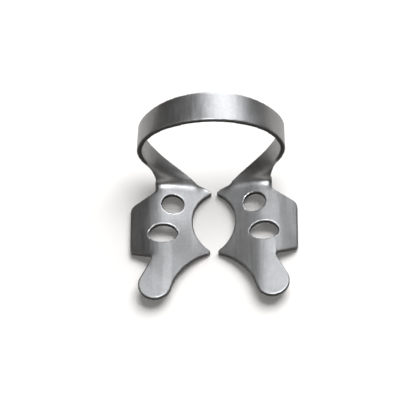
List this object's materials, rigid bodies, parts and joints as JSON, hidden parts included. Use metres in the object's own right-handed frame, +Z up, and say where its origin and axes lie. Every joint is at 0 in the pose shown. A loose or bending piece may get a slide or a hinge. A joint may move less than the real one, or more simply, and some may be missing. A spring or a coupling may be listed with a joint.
{
  "type": "rubber dam clamp",
  "caption": "Winged dental dam clamp bent from sheet steel: jaws with prongs, forceps holes, wings and tongues, joined by a tall twisted spring bow.",
  "frame": {"origin": "middle of the tooth opening between the jaws, on the plane that the prong tips stand on", "axes": "+X across the jaws to the right wing, +Y back to the bow, +Z up from the prong tips to the top of the bow"},
  "size_m": [0.029, 0.0314, 0.0185],
  "materials": {
    "steel": "satin, finely blasted, with thin bright rims on the sheared edges"
  },
  "bodies": {
    "root": {"clamp": "steel"}
  },
  "joints": []
}
